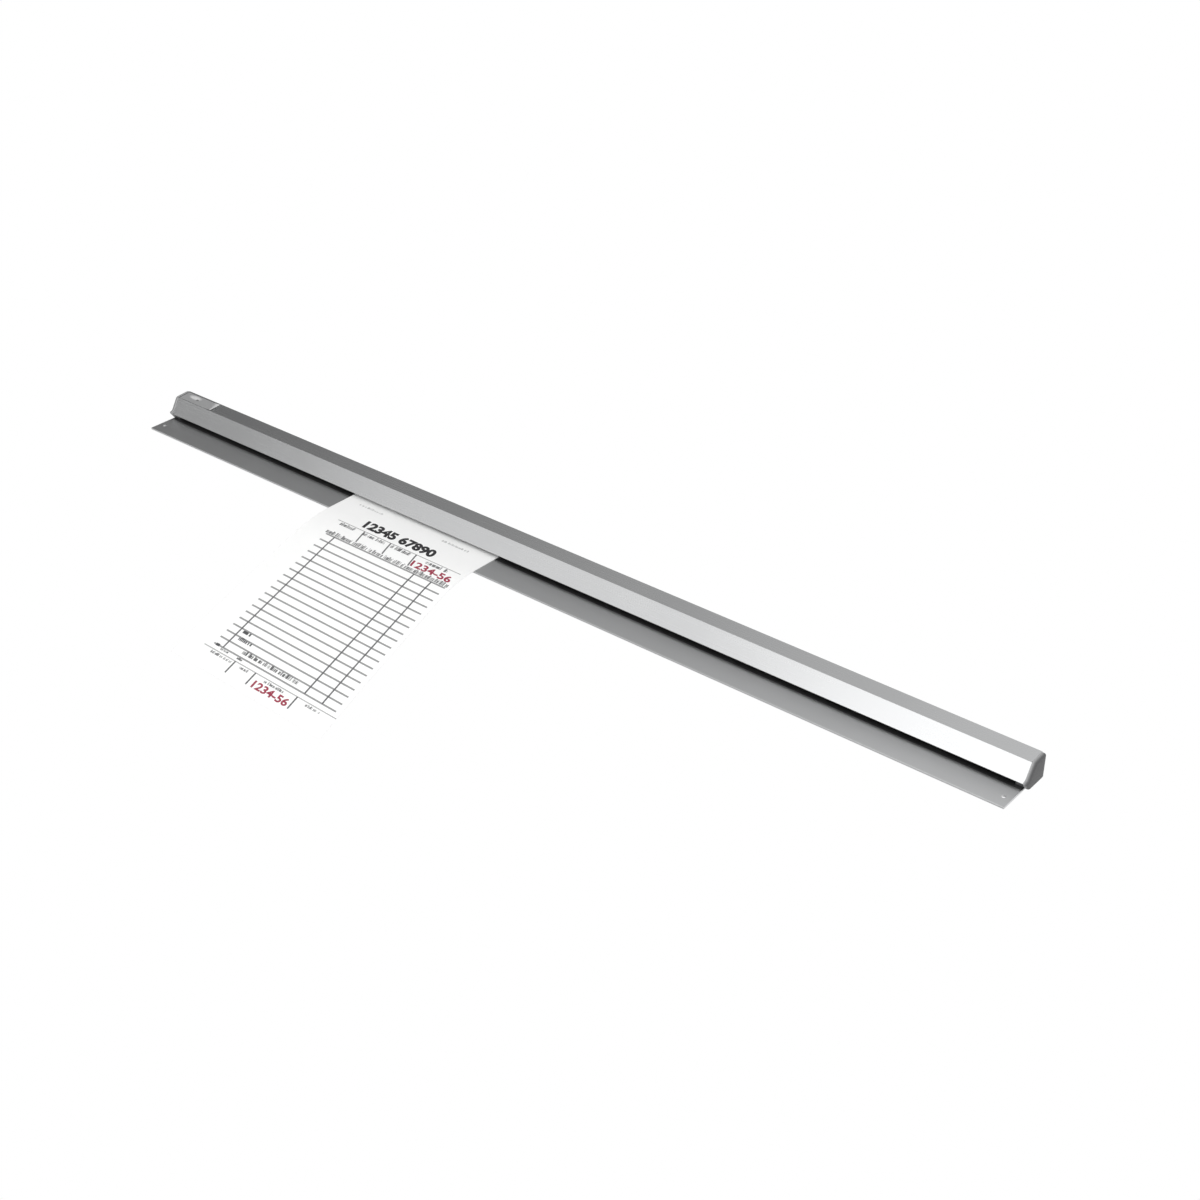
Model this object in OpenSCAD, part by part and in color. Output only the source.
// Order ticket rack: an aluminium rail that grips paper slips with loose marbles.
// It hangs on a wall or a shelf edge. +Z is up, X runs along the rail, and the back face is at Y = 0.
// The origin is the middle of the back face, so the front of the rack faces -Y.

/* [Rail] */
// Length of the rail
rail_l = 609.6; // [450:0.1:1250]
// Height of the back plate
plate_h = 33.6; // [30:0.1:60]
// Thickness of the back plate
plate_t = 1.2; // [0.9:0.1:1.6]
// Wall of the hood: top, front band and shelf
wall_t = 1.2; // [0.9:0.1:1.4]
// How far the hood stands out from the wall at its top
hood_depth = 14.4; // [14:0.1:18]
// Height of the hood's front band
band_h = 10; // [9.6:0.1:13]
// How far the foot of the front band leans back towards the wall
band_lean = 0.8; // [0.2:0.1:1.2]
// How far the shelf falls from the foot of the band to its lip
shelf_drop = 5.9; // [5:0.1:6.6]
// Gap between the lip of the shelf and the plate, where a slip goes in
slot_w = 2.4; // [1.6:0.1:3]
// Rounding of the hood's outer corners
hood_round = 0.5; // [0.2:0.1:0.8]
// Rounding of the thin edges and the inner corners
edge_round = 0.3; // [0.1:0.05:0.4]

/* [Screw holes] */
// Diameter of each screw hole
hole_d = 2.4; // [2:0.1:4.5]
// From the end of the rail to the middle of the hole
hole_end = 4.2; // [3:0.1:20]
// From the bottom edge of the plate to the middle of the hole
hole_up = 7.4; // [4:0.1:14]

/* [Marbles] */
// Number of marbles in the rail
marble_count = 30; // [12:1:50]
// Diameter of a marble
marble_d = 8; // [7:0.1:8.4]
// Free space round a marble at rest, to the shelf and to a slip
marble_gap = 0.2; // [0.1:0.05:0.4]

/* [End caps] */
// Thickness of the cap's outer plate
cap_t = 2.4; // [1.5:0.1:4]
// How far the cap's plate stands proud of the hood
cap_proud = 0.2; // [0:0.05:0.6]
// How far the cap's lower edge rises from the lip to the wall
cap_rise = 2.4; // [0.5:0.1:2.6]
// How far the plug reaches into the rail
plug_l = 4.8; // [3:0.1:8]
// Wall of the hollow plug
plug_wall = 1.4; // [1:0.1:1.8]
// Free space between the plug and the walls of the rail
plug_gap = 0.1; // [0.05:0.05:0.3]
// Width of the small ear under the cap's lip, where it leaves the shelf
ear_w = 2.6; // [2:0.1:4]
// How far the tip of the ear hangs below the lip
ear_drop = 1.9; // [1:0.1:4]
// How far the tip of the ear lies in front of the lip
ear_out = 1.7; // [1:0.1:4]

/* [Order slip] */
// Width of the slip
slip_w = 115; // [60:1:150]
// Length of the slip
slip_l = 160; // [110:1:200]
// Thickness of the slip, two sheets of paper
slip_t = 0.2; // [0.1:0.05:0.25]
// Place of the slip's middle along the rail
slip_x = -84.4; // [-140:0.1:140]
// How far the slip reaches up past the lip
slip_in = 11.7; // [9:0.1:12.5]
// Free space between the slip and the plate
slip_gap = 0.1; // [0.05:0.05:0.2]
// Length of the bend under the plate
bend_l = 30; // [15:1:40]
// How far the tail of the slip hangs out of the plate's plane, in degrees
droop = 21; // [0:0.5:35]
// How much more than that one side hangs out, and less the other, in degrees
twist = 2.2; // [0:0.1:4]

/* [Blank label] */
// Length of the blank label
label_l = 29.6; // [10:0.1:60]
// Height of the blank label
label_h = 8; // [4:0.1:8.6]
// Thickness of the blank label
label_t = 0.1; // [0.05:0.05:0.2]
// From the left end of the rail to the label
label_end = 1; // [0.5:0.5:40]
// From the foot of the front band up to the label
label_up = 0.4; // [0.2:0.1:1]

/* [Hidden] */
// Overrun of every cut
over = 1;
// Steps in each rounded corner
round_steps = 4;
// Rows of points in the bend and in the tail of the slip, and columns across it
bend_rows = 8;
tail_rows = 6;
slip_cols = 8;

// The rail is drawn from its top back edge, so this puts the plate's middle at the origin
top_z = plate_h / 2;
plug_depth = plug_l - plug_wall;
lip_y = -(plate_t + slot_w);
lip_z = -(band_h + shelf_drop);
hood_top = [-hood_depth, 0];
hood_foot = [-(hood_depth - band_lean), -band_h];
lip = [lip_y, lip_z];

// Unit vectors along the front band and the shelf, and the normals that point into the hood
band_u = unit(hood_foot - hood_top);
shelf_u = unit(lip - hood_foot);
top_n = [0, -1];
band_n = left_of(band_u);
shelf_n = left_of(shelf_u);
plate_n = [1, 0];

// Corners of the channel inside the hood
channel_top = inset_corner(hood_top, top_n, band_n, wall_t);
channel_foot = inset_corner(hood_foot, band_n, shelf_n, wall_t);
lip_inner = lip + [0, wall_t / shelf_n.y];
channel_back = [-plate_t, -wall_t];

// A marble rests on the shelf, a slip's thickness off the plate
marble_r = marble_d / 2;
marble_y = -(plate_t + slip_gap + slip_t + marble_gap + marble_r);
marble_z = lip_inner.y + (marble_r + marble_gap - (marble_y - lip_inner.x) * shelf_n.x) / shelf_n.y;
run_l = rail_l - 2 * plug_l;
marble_pitch = run_l / marble_count;

// The slip hangs flat on the plate down to its bottom edge, then bends and hangs on straight
slip_top = lip_z + slip_in;
flat_l = plate_h + slip_top;
tail_l = slip_l - flat_l - bend_l;
slip_rows = concat(
    [0, flat_l],
    [for (i = [1 : bend_rows]) flat_l + bend_l * i / bend_rows],
    [for (i = [1 : tail_rows]) flat_l + bend_l + tail_l * i / tail_rows]
);

function marble_name(i) = str("marble_", i < 10 ? "0" : "", i);

function unit(v) = v / norm(v);
function left_of(v) = [-v.y, v.x];

// The point where two walls with these inner normals meet, a distance d inside their outer corner
function inset_corner(p, n1, n2, d) = p + d * (n1 + n2) / (1 + n1 * n2);

// Points of an arc of radius r that rounds corner b of the path a, b, c
function round_corner(a, b, c, r) =
    let (
        u = unit(a - b),
        v = unit(c - b),
        half = acos(u * v) / 2,
        t = r / tan(half),
        mid = b + unit(u + v) * r / sin(half),
        from = b + u * t - mid,
        to = b + v * t - mid,
        swing = acos(max(-1, min(1, unit(from) * unit(to)))),
        turn = from.x * to.y - from.y * to.x < 0 ? -swing : swing
    )
    [for (i = [0 : round_steps])
        let (w = turn * i / round_steps)
        mid + [from.x * cos(w) - from.y * sin(w), from.x * sin(w) + from.y * cos(w)]];

// An outline of [point, radius] corners, each one rounded
function rounded(corners) =
    let (n = len(corners))
    [for (i = [0 : n - 1])
        each round_corner(corners[(i + n - 1) % n][0], corners[i][0], corners[(i + 1) % n][0], corners[i][1])];

// Puts an outline drawn in depth and height across the rail, from x on, for the length l
module along_rail(x, l) {
    translate([x, 0, top_z]) rotate([90, 0, 90]) linear_extrude(l) children();
}

module rail_outline() {
    polygon(rounded([
        [[0, 0], edge_round],
        [hood_top, hood_round],
        [hood_foot, hood_round],
        [lip, edge_round],
        [lip_inner, edge_round],
        [channel_foot, edge_round],
        [channel_top, edge_round],
        [channel_back, edge_round],
        [[-plate_t, -plate_h], edge_round],
        [[0, -plate_h], edge_round]
    ]));
}

module rail_extrusion() {
    color("silver")
    difference() {
        along_rail(-rail_l / 2, rail_l) rail_outline();
        for (side = [-1, 1])
            translate([side * (rail_l / 2 - hole_end), over, hole_up - top_z])
                rotate([90, 0, 0]) cylinder(d = hole_d, h = plate_t + 2 * over, $fn = 48);
    }
}

// Outer plate of a cap: the hood's outline a little larger, with an ear under the lip
module cap_outline() {
    top = inset_corner(hood_top, top_n, band_n, -cap_proud);
    foot = inset_corner(hood_foot, band_n, shelf_n, -cap_proud);
    ear_root = lip - shelf_n * cap_proud - shelf_u * ear_w;
    ear_tip = lip + [-ear_out, -ear_drop];
    polygon(rounded([
        [[0, top.y], edge_round],
        [top, hood_round],
        [foot, hood_round],
        [ear_root, edge_round],
        [ear_tip, edge_round],
        [lip - [0, cap_proud], edge_round],
        [[0, lip_z - cap_proud + cap_rise], edge_round]
    ]));
}

// Section of the plug, a distance gap inside the channel's walls and above the slot
module plug_outline(gap) {
    nip_z = lip_inner.y + (plate_t + lip_inner.x) * shelf_n.x / shelf_n.y;
    intersection() {
        polygon([
            channel_back + [-gap, -gap],
            inset_corner(channel_top, top_n, band_n, gap),
            inset_corner(channel_foot, band_n, shelf_n, gap),
            inset_corner([-plate_t, nip_z], -plate_n, shelf_n, gap)
        ]);
        translate([-hood_depth, lip_inner.y + gap]) square([hood_depth, -lip_inner.y]);
    }
}

// The cap of the right end; the plug's pocket opens towards the marbles
module end_cap() {
    color("dimgray")
    difference() {
        union() {
            along_rail(rail_l / 2, cap_t) cap_outline();
            along_rail(rail_l / 2 - plug_l, plug_l + cap_t / 2) plug_outline(plug_gap);
        }
        along_rail(rail_l / 2 - plug_l - over, plug_depth + over) plug_outline(plug_gap + plug_wall);
    }
}

module end_cap_right() {
    end_cap();
}

module end_cap_left() {
    mirror([1, 0, 0]) end_cap();
}

module blank_label() {
    low = hood_foot - band_u * label_up;
    high = low - band_u * label_h;
    color("lightgray")
    along_rail(-rail_l / 2 + label_end, label_l)
        polygon([high, high - band_n * label_t, low - band_n * label_t, low]);
}

module marble(i) {
    color("lightsteelblue")
    translate([-run_l / 2 + marble_pitch * (i - 0.5), marble_y, top_z + marble_z])
        sphere(d = marble_d, $fn = 48);
}

// Angle by which the slip has turned out of the plate's plane, at share s of its half width
function hang(s) = droop + twist * s;

// Depth and height on the slip's centre surface, at share s of its half width and length v down it
function slip_point(s, v) =
    let (
        a = hang(s),
        b = min(max(v - flat_l, 0), bend_l),
        r = bend_l * 180 / PI / a,
        t = max(v - flat_l - bend_l, 0),
        w = a * b / bend_l,
        y = -(plate_t + slip_gap + slip_t / 2),
        z = slip_top - min(v, flat_l)
    )
    a == 0
        ? [y, z - b - t, 0]
        : [y + r * (1 - cos(w)) + t * sin(w), z - r * sin(w) - t * cos(w), w];

// The slip is a closed sheet: a grid of points on each face, joined at its rim
module order_slip() {
    rows = len(slip_rows);
    grid = [for (side = [1, -1]) for (v = slip_rows) for (j = [0 : slip_cols])
        let (
            s = 2 * j / slip_cols - 1,
            p = slip_point(s, v)
        )
        [
            s * slip_w / 2,
            p[0] - side * slip_t / 2 * cos(p[2]),
            p[1] - side * slip_t / 2 * sin(p[2])
        ]];
    wide = slip_cols + 1;
    back = rows * wide;
    function at(i, j) = i * wide + j;
    fronts = [for (i = [0 : rows - 2]) for (j = [0 : slip_cols - 1])
        each [[at(i, j), at(i, j + 1), at(i + 1, j)], [at(i, j + 1), at(i + 1, j + 1), at(i + 1, j)]]];
    backs = [for (f = fronts) [f[0] + back, f[2] + back, f[1] + back]];
    rim = concat(
        [for (j = [0 : slip_cols - 1]) at(0, slip_cols - j)],
        [for (i = [0 : rows - 2]) at(i, 0)],
        [for (j = [0 : slip_cols - 1]) at(rows - 1, j)],
        [for (i = [0 : rows - 2]) at(rows - 1 - i, slip_cols)]
    );
    edges = [for (k = [0 : len(rim) - 1])
        let (p = rim[k], q = rim[(k + 1) % len(rim)])
        each [[p, q, q + back], [p, q + back, p + back]]];
    color("white") translate([slip_x, 0, top_z]) polyhedron(grid, concat(fronts, backs, edges));
}

rail_extrusion();
end_cap_left();
end_cap_right();
blank_label();
order_slip();
for (i = [1 : marble_count])
    marble(i);
